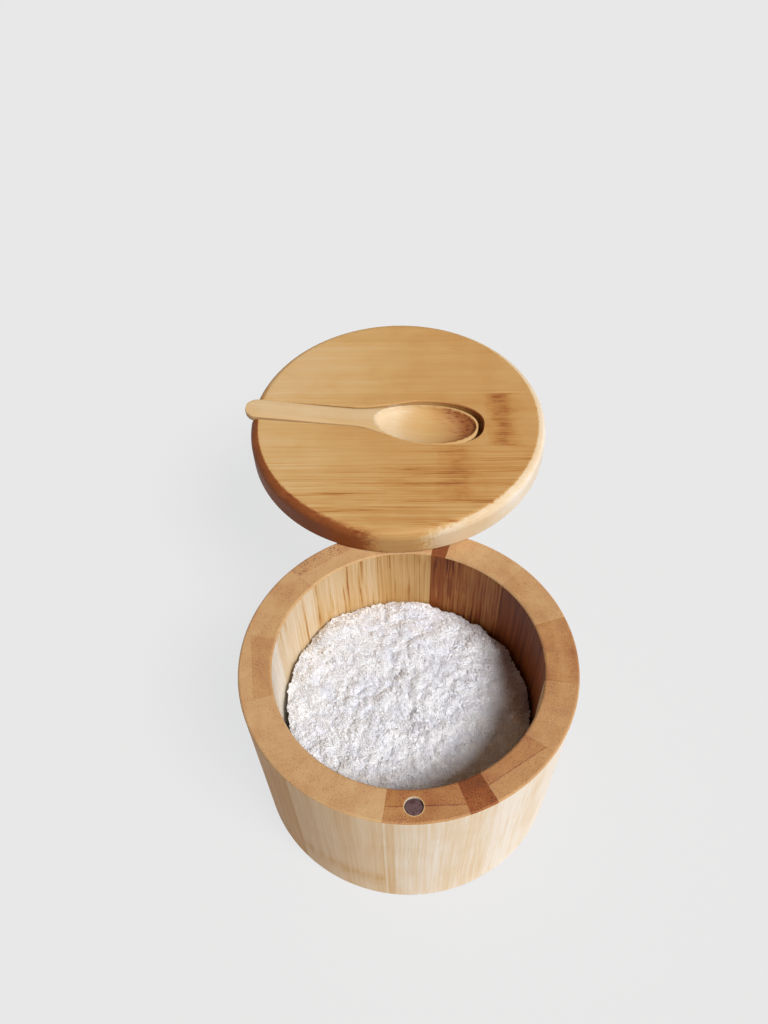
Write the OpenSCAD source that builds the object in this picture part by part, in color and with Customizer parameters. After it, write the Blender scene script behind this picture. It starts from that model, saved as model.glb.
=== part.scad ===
// Salt box: a turned ring of bamboo staves with a round lid that swings
// round an upright pin in the back wall, and a spoon laid in the lid.
// The origin is the middle of the foot, on the table. -Y is the front,
// where the magnet is, and +Y is the back, where the lid's pin is.

/* [Box] */
// Diameter of the box across the outside
box_d = 100; // [80:1:130]
// Height of the box from the table to the rim
box_h = 67; // [50:1:90]
// Thickness of the box wall
wall_t = 10; // [8:0.5:13]
// Thickness of the bottom disc
bottom_t = 8; // [5:0.5:12]
// Width of the rebate that seats the bottom disc
rebate_w = 2; // [1:0.25:3]
// Rounding of the rim and of the foot
edge_r = 0.8; // [0.3:0.1:1.5]

/* [Lid] */
// Thickness of the lid
lid_t = 9; // [7.5:0.5:14]
// Rounding of the lid's top edge
lid_top_r = 3.2; // [1:0.1:4.5]
// Gap between the rim and the lid
lid_gap = 0.4; // [0.2:0.1:1]
// How far the lid is turned from closed, in degrees
lid_turn = 180; // [0:5:180]

/* [Pivot pin] */
// Diameter of the pivot pin
pin_d = 4; // [3:0.5:5]
// Depth of the pin's bore in the box wall
pin_in_wall = 18; // [12:1:24]
// Depth of the pin's seat in the lid
pin_in_lid = 6; // [4:0.5:6.5]
// Running clearance round the pin, on the radius
pin_fit = 0.05; // [0.02:0.01:0.1]

/* [Magnets] */
// Diameter of each magnet
magnet_d = 5; // [4:0.5:6]
// Thickness of each magnet
magnet_t = 3; // [2:0.5:4]
// How deep each magnet lies below its surface
magnet_sink = 0.6; // [0.2:0.1:1]
// Glue gap round each magnet, on the radius
magnet_fit = 0.15; // [0.05:0.05:0.3]

/* [Spoon] */
// Length of the spoon
spoon_l = 80; // [60:1:96]
// Width of the handle
handle_w = 8.4; // [6:0.5:10]
// Thickness of the handle
handle_t = 3.4; // [2.5:0.1:4]
// Distance from the bowl's widest place to its tip
bowl_tip = 17; // [12:0.5:22]
// Distance from the bowl's widest place back to the neck
bowl_neck = 26; // [18:1:32]
// Width of the bowl
bowl_w = 19; // [15:0.5:23]
// Height of the bowl
bowl_h = 5.6; // [4.6:0.1:6]
// Length of the hollow in the bowl
hollow_l = 35; // [27:1:38]
// Depth of the hollow in the bowl
hollow_depth = 3.6; // [2:0.1:3.8]
// Width of the bowl's rim
bowl_rim = 1; // [0.8:0.1:2]
// How far the handle's end stands out past the lid's edge
overhang = 2.6; // [0:0.1:5]
// Angle of the spoon across the grain of the lid, in degrees
spoon_angle = 9; // [0:1:20]
// Distance of the spoon's middle line from the lid's middle
spoon_off = 0.3; // [-3:0.1:3]

/* [Spoon recess] */
// Gap between the spoon and the recess's wall
recess_fit = 0.5; // [0.3:0.05:1]
// Extra room past the tip of the bowl
tip_room = 1.2; // [0:0.1:3]
// How far the handle's end stands above the lid's top
handle_rise = 0.8; // [0:0.1:1.5]
// How far the bowl's rim lies below the lid's top
bowl_drop = 0.9; // [0.2:0.1:1.2]
// Gap between the spoon's underside and the recess's floor
floor_fit = 0.2; // [0.1:0.05:0.5]

/* [Salt] */
// Height of the salt above the table, at the wall
salt_level = 44; // [20:1:60]
// Height of the heap in its middle above its edge
salt_crown = 2.5; // [0.5:0.5:6]
// Gap between the salt and the wood
salt_fit = 0.3; // [0.2:0.1:0.6]

/* [Hidden] */
// Angles of the glue seams between the staves, from the front round by the right
seams = [-76, -44, -10, 17.5, 27, 52, 79, 106, 131, 160.5, 167, 192, 225.5, 257];
stave_count = len(seams);
// Staves whose wood is dark: the two narrow ones that close the ring
dark_staves = [4, 10];

stave_names = [for (i = [1:stave_count]) str("stave_", i < 10 ? "0" : "", i)];

$fn = 96;
eps = 1;

outer_r = box_d / 2;
inner_r = outer_r - wall_t;
// The pin and the magnets stand on the middle line of the wall
wall_mid_r = outer_r - wall_t / 2;
lid_z = box_h + lid_gap;
// Glue gap round the bottom disc
glue = 0.05;
magnet_pocket = magnet_t + magnet_sink;

pale_bamboo = "burlywood";
dark_bamboo = "saddlebrown";
golden_bamboo = "peru";

// Spoon frame: x runs from the handle's end to the tip of the bowl, z = 0 is the lid's top
widest_x = spoon_l - bowl_tip;
neck_x = widest_x - bowl_neck;
handle_half = handle_w / 2;
// Drawing-in of the handle's middle, as a share of its width
waist = 0.06;
// Power of the bowl's oval: 2 is an ellipse, more is blunter
oval = 2.3;
// Height of the eased edge along the spoon's top
crown = 0.7;
// Share of the handle's thickness at its very end
end_share = 0.6;
spoon_stations = 30;
spoon_sides = 16;
recess_stations = 40;
handle_slot = handle_t + floor_fit;
bowl_slot = bowl_drop + bowl_h + floor_fit;
end_x = -sqrt(outer_r * outer_r - spoon_off * spoon_off) - overhang;

// Smooth step from 0 at a to 1 at b
function smooth(a, b, x) =
    let (t = min(1, max(0, (x - a) / (b - a)))) t * t * (3 - 2 * t);

// Share of the full width at distance x from the tip of a round end of radius r
function round_end(x, r) = x >= r ? 1 : sqrt(max(0, 1 - pow(1 - x / r, 2)));

// Share of the way from the neck to the bowl's widest place at x
function bowl_share(x) = smooth(neck_x, widest_x, x);

// Share of the bowl's full size at x, from the widest place to the tip
function tip_share(x) =
    x <= widest_x ? 1 : pow(max(0, 1 - pow((x - widest_x) / bowl_tip, oval)), 1 / oval);

// Half-width of the handle at x, drawn in a little towards the neck
function handle_half_at(x) =
    handle_half * round_end(x, handle_half) * (1 - waist * smooth(0, neck_x, x));

// Half-width of the spoon at x, where the handle flows into the bowl
function spoon_half_at(x) =
    (handle_half_at(x) * (1 - bowl_share(x)) + bowl_w / 2 * bowl_share(x)) * tip_share(x);

// Height of the spoon's top at x: it falls from the handle's end to the bowl
function spoon_top_at(x) = handle_rise * (1 - smooth(0, neck_x, x)) - bowl_drop * bowl_share(x);

// Height of the spoon's underside at x
function spoon_under_at(x) =
    let (handle_part = handle_t * (end_share + (1 - end_share) * round_end(x, handle_half)))
    let (bowl_part = bowl_h * tip_share(x))
    spoon_top_at(x) - handle_part * (1 - bowl_share(x)) - bowl_part * bowl_share(x);

// Signed power, which squares up the outline of a cross-section
function power(v, p) = sign(v) * pow(abs(v), p);

// One cross-section of the spoon at x, with half-width w, from the top z1 to the underside z0:
// a bar with eased corners where share is 0, and a round bowl where it is 1
function spoon_ring(x, w, z1, z0, share) = [
    for (k = [0:spoon_sides - 1])
        let (a = 360 * k / spoon_sides)
        let (widest = max(z1 - crown, (z1 + z0) / 2))
        let (reach = sin(a) > 0 ? z1 - widest : widest - z0)
        let (p = sin(a) > 0 ? 0.5 : 0.5 + 0.4 * share)
        [x, w * power(cos(a), p), widest + reach * power(sin(a), p)]
];

// Distance along the spoon of station i: close together at both ends
function station_x(i, n, length) = length * (1 - cos(180 * i / n)) / 2;

// Places a child of the closed lid at the lid's own turn round the pin
module at_lid() {
    translate([0, wall_mid_r, lid_z]) rotate(lid_turn) translate([0, -wall_mid_r, 0]) children();
}

// Places a child of the spoon's frame in the closed lid, whose underside is z = 0
module at_spoon() {
    translate([0, 0, lid_t]) rotate(180 - spoon_angle) translate([end_x, -spoon_off, 0]) children();
}

// Cross-section of the staves, with eased edges and the rebate for the bottom disc
module stave_profile() {
    difference() {
        union() {
            translate([inner_r + edge_r, 0]) square([wall_t - 2 * edge_r, box_h]);
            translate([inner_r, edge_r]) square([wall_t, box_h - 2 * edge_r]);
            for (x = [inner_r + edge_r, outer_r - edge_r])
                for (y = [edge_r, box_h - edge_r])
                    translate([x, y]) circle(edge_r, $fn = 24);
        }
        translate([inner_r - eps, -eps]) square([rebate_w + eps, bottom_t + eps]);
    }
}

// Bore in the back wall in which the pin turns
module pin_bore() {
    translate([0, wall_mid_r, box_h - pin_in_wall]) cylinder(h = pin_in_wall + eps, r = pin_d / 2 + pin_fit);
}

// Pocket for the magnet in the front of the rim
module rim_pocket() {
    translate([0, -wall_mid_r, box_h - magnet_pocket])
        cylinder(h = magnet_pocket + eps, r = magnet_d / 2 + magnet_fit);
}

// Stave i of the ring, from its own seam to the next one
module stave(i) {
    from = seams[i];
    to = i + 1 < stave_count ? seams[i + 1] : seams[0] + 360;
    is_dark = len([for (d = dark_staves) if (d == i + 1) d]) > 0;
    color(is_dark ? dark_bamboo : pale_bamboo)
    difference() {
        rotate(from - 90) rotate_extrude(angle = to - from) stave_profile();
        if (from < 180 && to > 180) pin_bore();
        if (from < 0 && to > 0) rim_pocket();
    }
}

module bottom_disc() {
    color(pale_bamboo) cylinder(h = bottom_t, r = inner_r + rebate_w - glue);
}

module box_magnet() {
    color("dimgray") translate([0, -wall_mid_r, box_h - magnet_pocket]) cylinder(h = magnet_t, d = magnet_d);
}

// The salt stands on the bottom disc and ends in a low dome
module salt_fill() {
    salt_r = inner_r - salt_fit;
    dome_r = (salt_r * salt_r + salt_crown * salt_crown) / (2 * salt_crown);
    color("whitesmoke")
    intersection() {
        translate([0, 0, bottom_t + salt_fit]) cylinder(h = salt_level, r = salt_r);
        translate([0, 0, salt_level + salt_crown - dome_r]) sphere(dome_r);
    }
}

// Place on the spoon that the recess's place x stands for: the recess runs on past the tip
function spoon_place(x) =
    x <= widest_x ? x : widest_x + (x - widest_x) * bowl_tip / (bowl_tip + recess_fit + tip_room);

// Outline of the recess from one place along the spoon to another
module recess_outline(from, to) {
    along = [for (i = [0:recess_stations]) from + station_x(i, recess_stations, to - from)];
    half = [for (x = along) spoon_half_at(spoon_place(x)) + recess_fit];
    polygon(concat(
        [for (i = [0:recess_stations]) [along[i], half[i]]],
        [for (i = [recess_stations:-1:0]) [along[i], -half[i]]]
    ));
}

// Recess in the lid: a slot for the handle, open at the lid's edge, and a deeper bed for the bowl
module spoon_recess() {
    tip = spoon_l + recess_fit + tip_room;
    slot_w = handle_w + 2 * recess_fit;
    at_spoon() {
        translate([0, 0, -handle_slot])
            linear_extrude(handle_slot + eps) recess_outline(handle_w, tip);
        translate([-overhang - eps, -slot_w / 2, -handle_slot])
            cube([overhang + eps + handle_w, slot_w, handle_slot + eps]);
        translate([0, 0, -bowl_slot])
            linear_extrude(bowl_slot) recess_outline(neck_x, tip);
    }
}

// Turned board with a rounded top edge
module lid_board() {
    rotate_extrude() {
        square([outer_r, lid_t - lid_top_r]);
        square([outer_r - lid_top_r, lid_t]);
        intersection() {
            translate([outer_r - lid_top_r, lid_t - lid_top_r]) circle(lid_top_r);
            square([outer_r, lid_t]);
        }
    }
}

module lid() {
    color(golden_bamboo)
    at_lid() difference() {
        lid_board();
        translate([0, wall_mid_r, -eps]) cylinder(h = pin_in_lid + eps, d = pin_d);
        translate([0, -wall_mid_r, -eps])
            cylinder(h = magnet_pocket + eps, r = magnet_d / 2 + magnet_fit);
        spoon_recess();
    }
}

// The pin is pressed into the lid and stands on the floor of its bore
module pivot_pin() {
    color("silver")
    translate([0, wall_mid_r, box_h - pin_in_wall])
        cylinder(h = pin_in_wall + lid_gap + pin_in_lid, d = pin_d);
}

module lid_magnet() {
    color("dimgray")
    at_lid() translate([0, -wall_mid_r, magnet_sink]) cylinder(h = magnet_t, d = magnet_d);
}

// The spoon's solid form, without the hollow in the bowl
module spoon_form() {
    rings = [
        for (i = [1:spoon_stations - 1])
            let (x = station_x(i, spoon_stations, spoon_l))
            spoon_ring(x, spoon_half_at(x), spoon_top_at(x), spoon_under_at(x), bowl_share(x))
    ];
    n = len(rings);
    points = concat(
        [for (ring = rings) each ring],
        [[0, 0, handle_rise - handle_t * end_share / 2], [spoon_l, 0, -bowl_drop - crown]]
    );
    sides = [
        for (i = [0:n - 2], k = [0:spoon_sides - 1])
            let (next = (k + 1) % spoon_sides)
            let (a = i * spoon_sides, b = (i + 1) * spoon_sides)
            each [[a + k, a + next, b + k], [a + next, b + next, b + k]]
    ];
    handle_end = [for (k = [0:spoon_sides - 1]) [n * spoon_sides, (k + 1) % spoon_sides, k]];
    last = (n - 1) * spoon_sides;
    tip_end = [
        for (k = [0:spoon_sides - 1])
            [n * spoon_sides + 1, last + k, last + (k + 1) % spoon_sides]
    ];
    polyhedron(points, concat(sides, handle_end, tip_end));
}

module spoon() {
    color("wheat")
    at_lid() at_spoon() difference() {
        spoon_form();
        translate([spoon_l - bowl_rim - hollow_l / 2, 0, -bowl_drop])
            scale([hollow_l / 2, bowl_w / 2 - bowl_rim, hollow_depth]) sphere(1, $fn = 32);
    }
}

for (i = [0:stave_count - 1])
    stave(i);
bottom_disc();
box_magnet();
salt_fill();
lid();
pivot_pin();
lid_magnet();
spoon();
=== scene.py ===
# %% [markdown]
# # A bamboo salt box with a swivel lid
#
# The object is a thick-walled round box, glued up from upright bamboo staves and turned on a lathe.
# Its lid swings aside on an upright pin in the back wall, a spoon lies in a recess in the lid, and
# the box is full of coarse salt. The engineering model already has every part at its true size. Here
# each part is built again with its small forms, such as eased edges and grains of salt, and gets
# its finish.
#
# The first step loads that model as a fixed frame. All work is in metres, with the origin in the
# middle of the box's foot, +Z up and the front towards -Y.

# %% Load the frame
import math

import bmesh
import bpy
from mathutils import Matrix, Vector, noise


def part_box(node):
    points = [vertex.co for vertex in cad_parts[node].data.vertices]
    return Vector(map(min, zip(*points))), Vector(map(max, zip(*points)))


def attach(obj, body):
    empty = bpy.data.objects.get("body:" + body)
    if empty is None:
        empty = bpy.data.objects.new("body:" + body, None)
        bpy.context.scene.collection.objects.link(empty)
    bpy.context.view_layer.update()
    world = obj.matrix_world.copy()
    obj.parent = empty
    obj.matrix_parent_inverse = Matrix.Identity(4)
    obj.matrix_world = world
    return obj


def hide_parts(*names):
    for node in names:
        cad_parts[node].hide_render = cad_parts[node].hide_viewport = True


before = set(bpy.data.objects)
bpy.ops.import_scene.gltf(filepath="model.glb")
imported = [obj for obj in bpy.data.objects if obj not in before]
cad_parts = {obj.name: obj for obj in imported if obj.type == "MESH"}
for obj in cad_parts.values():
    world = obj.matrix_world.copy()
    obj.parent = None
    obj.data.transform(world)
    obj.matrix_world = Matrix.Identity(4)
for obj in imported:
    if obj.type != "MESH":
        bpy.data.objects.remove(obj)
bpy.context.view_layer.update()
scene = bpy.context.scene

# %% [markdown]
# A salt box is small, so its sizes are easiest to read in millimetres. They are the ones the
# engineering model was drawn with, and two of them are read from the frame and printed.

# %% Sizes
MM = 0.001
OUTER_R, INNER_R, WALL_H = 49.99 * MM, 40 * MM, 67 * MM
BOTTOM_T, REBATE_W, EDGE_R = 8 * MM, 2 * MM, 0.8 * MM
LID_Z, LID_T = 67.4 * MM, 9 * MM
PIN_R = 45 * MM

foot_high, lid_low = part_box("bottom_disc")[1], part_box("lid")[0]
print("bottom disc radius", round(foot_high.x / MM, 2), "mm, lid underside", round(lid_low.z / MM, 2), "mm")

# %% [markdown]
# The camera stands close above the front of the box and looks steeply down, held slightly askew. Its
# place and lens follow from the outlines of the rim, the bore, the foot and the lid. The picture was
# cropped from a taller one, which a small vertical shift repeats.

# %% Camera
PICTURE_W, PICTURE_H, SENSOR_MM = 768, 1024, 36
FOCAL_PX, CENTRE_PX = 856.05, (375.3, 660.0)
CAMERA_AT = (-5.18 * MM, -128.77 * MM, 282.67 * MM)
CAMERA_PAN, CAMERA_DOWN, CAMERA_ROLL = 1.884, 58.985, -3.464


def spun(degrees, axis):
    return Matrix.Rotation(math.radians(degrees), 4, axis)


camera_data = bpy.data.cameras.new("camera")
camera_data.sensor_width = SENSOR_MM
camera_data.lens = FOCAL_PX * SENSOR_MM / PICTURE_H
camera_data.shift_x = (PICTURE_W / 2 - CENTRE_PX[0]) / PICTURE_H
camera_data.shift_y = (CENTRE_PX[1] - PICTURE_H / 2) / PICTURE_H
camera_data.clip_start, camera_data.clip_end = 0.01, 50
camera = bpy.data.objects.new("camera", camera_data)
camera.matrix_world = (Matrix.Translation(CAMERA_AT) @ spun(CAMERA_PAN, "Z") @ spun(90 - CAMERA_DOWN, "X")
                       @ spun(CAMERA_ROLL, "Z"))
scene.collection.objects.link(camera)
scene.camera = camera
print("lens", round(camera_data.lens, 2), "mm, shift", round(camera_data.shift_y, 4))

# %% [markdown]
# A node tree is boxes joined by wires, and a long sum is hard to read as boxes. So a wire here can be
# added and multiplied like a number, and each such sign adds the Math node that does it. The helpers
# after it add any other node, turn a value into a soft step, blend numbers or colours, and make a
# node tree with named sockets.


# %% A wire that can be added and multiplied
class Wire:
    """A wire from a node's output. Arithmetic on wires adds the nodes that do it."""

    def __init__(self, socket):
        self.socket, self.tree = socket, socket.id_data

    def __add__(self, other):
        return calc("ADD", self, other)

    def __sub__(self, other):
        return calc("SUBTRACT", self, other)

    def __rsub__(self, other):
        return calc("SUBTRACT", other, self)

    def __mul__(self, other):
        return calc("MULTIPLY", self, other)

    def __truediv__(self, other):
        return calc("DIVIDE", self, other)

    def __abs__(self):
        return calc("ABSOLUTE", self)

    __radd__, __rmul__ = __add__, __mul__


# %% Helpers for node trees
def plug(node, inputs):
    """Fills a node's inputs: wires are plugged in, and plain values are set."""
    for key, value in inputs.items():
        if isinstance(value, Wire):
            value.tree.links.new(value.socket, node.inputs[key])
        else:
            node.inputs[key].default_value = value
    return node


def put(tree, kind, inputs=None, **settings):
    """Adds a node. Settings are its options."""
    node = tree.nodes.new(kind)
    for key, value in settings.items():
        setattr(node, key, value)
    return plug(node, inputs or {})


def wire(tree, kind, inputs=None, output=0, **settings):
    """Adds a node and takes a wire from one of its outputs."""
    return Wire(put(tree, kind, inputs, **settings).outputs[output])


def tree_of(*values):
    return next(value.tree for value in values if isinstance(value, Wire))


def calc(operation, *values):
    """One step of arithmetic on wires and numbers."""
    return wire(tree_of(*values), "ShaderNodeMath", dict(enumerate(values)), operation=operation)


def vectors(operation, *values):
    """One step of arithmetic on points and directions. Some steps give a number."""
    output = "Value" if operation in ("LENGTH", "DISTANCE", "DOT_PRODUCT") else "Vector"
    return wire(tree_of(*values), "ShaderNodeVectorMath", dict(enumerate(values)), output,
                operation=operation)


def split(vector):
    """The three wires X, Y and Z of a vector."""
    return [Wire(socket) for socket in put(vector.tree, "ShaderNodeSeparateXYZ", {0: vector}).outputs]


def step(value, start, end, low=0.0, high=1.0):
    """A smooth step of value from low at start to high at end."""
    return wire(value.tree, "ShaderNodeMapRange", {"Value": value, "From Min": start, "From Max": end,
                "To Min": low, "To Max": high}, "Result", interpolation_type="SMOOTHSTEP")


def mix(share, a, b):
    """A number on the way from a to b."""
    return wire(tree_of(share, a, b), "ShaderNodeMix", {0: share, 2: a, 3: b}, data_type="FLOAT")


def blend(share, a, b):
    """A colour on the way from a to b."""
    first, second = (c if isinstance(c, Wire) else (*c, 1) for c in (a, b))
    return wire(share.tree, "ShaderNodeMix", {0: share, 6: first, 7: second}, 2, data_type="RGBA")


SOCKET_KINDS = {float: "Float", int: "Int", bool: "Bool", tuple: "Vector"}


def new_tree(name, inputs, outputs, kind="ShaderNodeTree"):
    """A node tree with named sockets, the wires from its inputs, and its output node.

    An input is given by its usual value, or by its kind where it has none.
    """
    tree = bpy.data.node_groups.new(name, kind)
    for label, value in inputs.items():
        socket = value if isinstance(value, str) else SOCKET_KINDS[type(value)]
        item = tree.interface.new_socket(name=label, in_out="INPUT", socket_type="NodeSocket" + socket)
        if value != socket:
            item.default_value = value
    for label, socket in outputs.items():
        tree.interface.new_socket(name=label, in_out="OUTPUT", socket_type="NodeSocket" + socket)
    given = {socket.name: Wire(socket) for socket in tree.nodes.new("NodeGroupInput").outputs if socket.name}
    return tree, given, tree.nodes.new("NodeGroupOutput")


# %% [markdown]
# ## The look of bamboo
#
# Bamboo is a bundle of straight fibres. Cut along them it shows fine streaks, and cut across them
# dots. One pattern in space gives both: a noise that hardly changes along the fibre. On the walls
# of the box it comes out as streaks and on the rim as dots, with the right change at each rounding,
# which no flat picture of wood could do. All tones lie on one scale from cream to dark brown, so a
# single number, the depth, sets the colour of each spot.

# %% Palette of bamboo tones
BAMBOO_TONES = [
    (0.00, (0.87, 0.81, 0.71)),
    (0.10, (0.80, 0.66, 0.47)),
    (0.20, (0.75, 0.57, 0.35)),
    (0.40, (0.64, 0.40, 0.16)),
    (0.55, (0.53, 0.265, 0.08)),
    (0.75, (0.30, 0.085, 0.02)),
    (1.00, (0.09, 0.02, 0.005)),
]
SANDING_DUST = (0.74, 0.72, 0.68)


def bamboo_tone(depth):
    """The colour of bamboo at a depth from 0, cream, to 1, dark brown."""
    node = put(depth.tree, "ShaderNodeValToRGB", {0: depth})
    tones = node.color_ramp.elements
    for place, _ in BAMBOO_TONES[1:-1]:
        tones.new(place)
    for tone, (place, colour) in zip(tones, BAMBOO_TONES):
        tone.position, tone.color = place, (*colour, 1)
    return Wire(node.outputs["Color"])


def noise_at(vector, scale, detail, roughness=0.5, output=0):
    """A soft noise in space. The scale says how many times it changes in a metre."""
    return wire(vector.tree, "ShaderNodeTexNoise", {"Vector": vector, "Scale": scale, "Detail": detail,
                                                    "Roughness": roughness}, output)


def drawn_out(vector, share):
    """Space in which patterns get longer along the fibre, Z, by 1 / share."""
    return wire(vector.tree, "ShaderNodeMapping", {"Vector": vector, "Scale": (1, 1, share)})


print("tones from", BAMBOO_TONES[0][1], "to", BAMBOO_TONES[-1][1])

# %% [markdown]
# The group below is the whole surface of one piece of bamboo: broad bands from strip to strip of
# the stalk, fine fibres, and the vascular bundles, which are pores on a cut end. A cut end also holds
# a trace of pale sanding dust. The group gives a colour, a roughness and a height, and each material
# decides how deep its tone is and where the ends are. The fibres sway a little, or they would look
# ruled.


# %% Shader group: bamboo
def make_bamboo_group():
    tree, given, result = new_tree(
        "bamboo fibres",
        {"Vector": "Vector", "Depth": 0.3, "Ends": 0.0, "Marks": 0.0, "Fibre Contrast": 0.08,
         "Streak Contrast": 0.1, "Pore Contrast": 0.12, "Band Contrast": 0.12},
        {"Color": "Color", "Roughness": "Float", "Height": "Float"})
    vector, depth, ends = given["Vector"], given["Depth"], given["Ends"]
    sway = vectors("MULTIPLY", noise_at(vector, 45.0, 1.0, output="Color"), (1.2 * MM,) * 3)
    swayed = vectors("ADD", vector, sway)

    def along_fibre(share, *noise_values):
        return noise_at(drawn_out(swayed, share), *noise_values)

    bands, mottle = along_fibre(0.02, 170.0, 2.0), along_fibre(0.25, 120.0, 3.0)
    fibres = along_fibre(0.012, 1500.0, 3.0, 0.6)
    streaks = step(along_fibre(0.03, 620.0, 4.0, 0.62), 0.53, 0.72)
    to_cell = wire(tree, "ShaderNodeTexVoronoi", {"Vector": drawn_out(swayed, 0.02), "Scale": 1700.0},
                   "Distance")
    bundles = step(to_cell, 0.10, 0.48, 1.0, 0.0) * step(along_fibre(0.02, 420.0, 2.0), 0.3, 0.6)
    specks = noise_at(swayed, 2200.0, 2.0)

    band_tone = (mix(0.35, bands, mottle) - 0.5) * given["Band Contrast"]
    side_tone = (fibres - 0.5) * given["Fibre Contrast"] + streaks * given["Streak Contrast"]
    end_tone = bundles * given["Pore Contrast"] + (specks - 0.5) * 0.16
    tone = bamboo_tone(depth + band_tone + mix(ends, side_tone, end_tone) + given["Marks"])
    dust = ends * step(depth, 0.5, 0.72, 0.1, 0.015)
    plug(result, {"Color": blend(dust, tone, SANDING_DUST),
                  "Roughness": 0.46 + fibres * 0.16 + ends * 0.05,
                  "Height": mix(ends, (fibres + streaks) * -0.5, bundles * -1.0)})
    return tree


bamboo_group = make_bamboo_group()
print("bamboo group has", len(bamboo_group.nodes), "nodes")

# %% [markdown]
# A stalk of bamboo has a ring, the node, every hand's breadth or so. Where one falls in a strip it
# leaves a brown patch of short flecks, all lying along the fibre. It starts and ends at the glue
# seams of its strip. The group takes the distance from the ring along the fibre, and lets the
# patch begin at once on one side and fade on the other.


# %% Shader group: node mark
def make_node_group():
    tree, given, result = new_tree(
        "bamboo node mark", {"Vector": "Vector", "Along": 1.0, "Reach": 6 * MM}, {"Mask": "Float"})
    vector = given["Vector"]
    share = given["Along"] / given["Reach"] + (noise_at(vector, 260.0, 3.0) - 0.5) * 0.9
    zone = step(share, -1.0, -0.75) * step(share, 0.1, 1.1, 1.0, 0.0)
    heart = step(share, -0.8, -0.1) * step(share, -0.05, 0.6, 1.0, 0.0)
    blots = step(noise_at(drawn_out(vector, 0.33), 520.0, 4.0, 0.65), 0.34, 0.72)
    lines = step(noise_at(drawn_out(vector, 0.07), 1900.0, 4.0, 0.65), 0.42, 0.68)
    patch = mix(heart, 0.15, 0.4) + blots * heart * mix(lines, 0.4, 0.7) + lines * 0.25
    plug(result, {"Mask": zone * patch})
    return tree


node_group = make_node_group()
print("node mark group has", len(node_group.nodes), "nodes")

# %% [markdown]
# Glue seams are hairlines that come and go. Handling leaves soft smudges, slightly darker and
# smoother than the bare wood, and on metal a few fine scratches too. Both are groups, because
# several materials use them with values of their own.


# %% Shader groups: glue seam and handling
def make_seam_group():
    tree, given, result = new_tree(
        "glue seam", {"Vector": "Vector", "Distance": 1.0, "Width": 0.18 * MM}, {"Mask": "Float"})
    line = step(abs(given["Distance"]) / given["Width"], 0.3, 1.0, 1.0, 0.0)
    plug(result, {"Mask": line * step(noise_at(given["Vector"], 260.0, 2.0), 0.3, 0.6, 0.25, 1.0)})
    return tree


def make_handling_group():
    tree, given, result = new_tree("handling", {"Vector": "Vector", "Smudge Size": 12 * MM},
                                   {"Smudges": "Float", "Scratches": "Float"})
    vector = given["Vector"]
    smudges = noise_at(vector, calc("DIVIDE", 1.0, given["Smudge Size"]), 3.0)
    askew = wire(tree, "ShaderNodeMapping",
                 {"Vector": vector, "Rotation": (0.4, 0.9, 0.7), "Scale": (1, 0.05, 1)})
    plug(result, {"Smudges": step(smudges, 0.4, 0.68),
                  "Scratches": step(noise_at(askew, 2400.0, 1.0), 0.66, 0.74)})
    return tree


seam_group = make_seam_group()
handling_group = make_handling_group()
print("groups:", [g.name for g in bpy.data.node_groups])

# %% [markdown]
# Each bamboo material ends in the same way: its own shader, fed by the bamboo group, with a bump
# from the group's height. The last helper below does this part, so that a material's own cell says
# only what is special about it.


# %% Helpers for materials
SMUDGE_DEPTH, SMUDGE_POLISH = 0.035, 0.07
WOOD_RELIEF, WOOD_BUMP, WOOD_GLOSS = 0.12 * MM, 0.35, 0.16


def new_material(name):
    material = bpy.data.materials.new(name)
    material.use_nodes = True
    tree = material.node_tree
    tree.nodes.clear()
    shader = put(tree, "ShaderNodeBsdfPrincipled")
    put(tree, "ShaderNodeOutputMaterial", {"Surface": Wire(shader.outputs[0])})
    return material, tree, shader


def group(node_tree, vector, inputs=None):
    """Places a shader group and takes the wires from it."""
    node = put(vector.tree, "ShaderNodeGroup", {"Vector": vector, **(inputs or {})}, node_tree=node_tree)
    return [Wire(socket) for socket in node.outputs]


def own_space(tree):
    return wire(tree, "ShaderNodeTexCoord", None, "Object")


def facing(tree, direction):
    """How squarely the surface faces a direction, from -1 to 1."""
    return vectors("DOT_PRODUCT", wire(tree, "ShaderNodeTexCoord", None, "Normal"), direction)


def relief(height, depth, strength):
    """The surface's normal, bumped by a height."""
    return wire(height.tree, "ShaderNodeBump", {"Height": height, "Distance": depth, "Strength": strength})


def finish_bamboo(shader, vector, depth, more):
    """Feeds the shader from the bamboo group, with smudges from handling."""
    smudges, _ = group(handling_group, vector)
    colour, rough, height = group(bamboo_group, vector, {"Depth": depth + smudges * SMUDGE_DEPTH, **more})
    plug(shader, {"Base Color": colour, "Roughness": rough - smudges * SMUDGE_POLISH,
                  "Normal": relief(height, WOOD_RELIEF, WOOD_BUMP), "Specular IOR Level": WOOD_GLOSS})


# %% [markdown]
# ## The ring of staves
#
# Fourteen staves of different widths make the wall. Two narrow dark ones closed the ring when it
# was glued up. The rim shows each stave's end, with its own tone, and several of them are made of
# two plies, an outer and an inner one, with a straight glue line between them.
#
# The material reads what differs from stave to stave from attributes on the mesh: how far a spot
# is from the nearest seam, on which side of the ply line it lies, and the depths of its outside, its
# inside and its plies' ends. Some of these depths are painted light and shade: the outsides on the
# left and the insides on the right are deeper, as painted shade, and the outsides on the right and
# the insides on the left are paler, as painted light. The ends are darker than the sides, as they
# drink the oil. The rounded edges and a thin ring round the magnet's pocket are paler, partly from
# sanding and partly as a painted highlight.

# %% Material: wall bamboo
SIDE_BLEND = 3 * MM
PLY_BLEND, PLY_LINE_W = 0.05 * MM, 0.22 * MM
POCKET_RING = (2.75 * MM, 3.0 * MM)
NODE_REACH = 9 * MM
GOLDEN_IN, GOLDEN_OUT = (0.3 * MM, 1.1 * MM), (3.0 * MM, 3.3 * MM)


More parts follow.
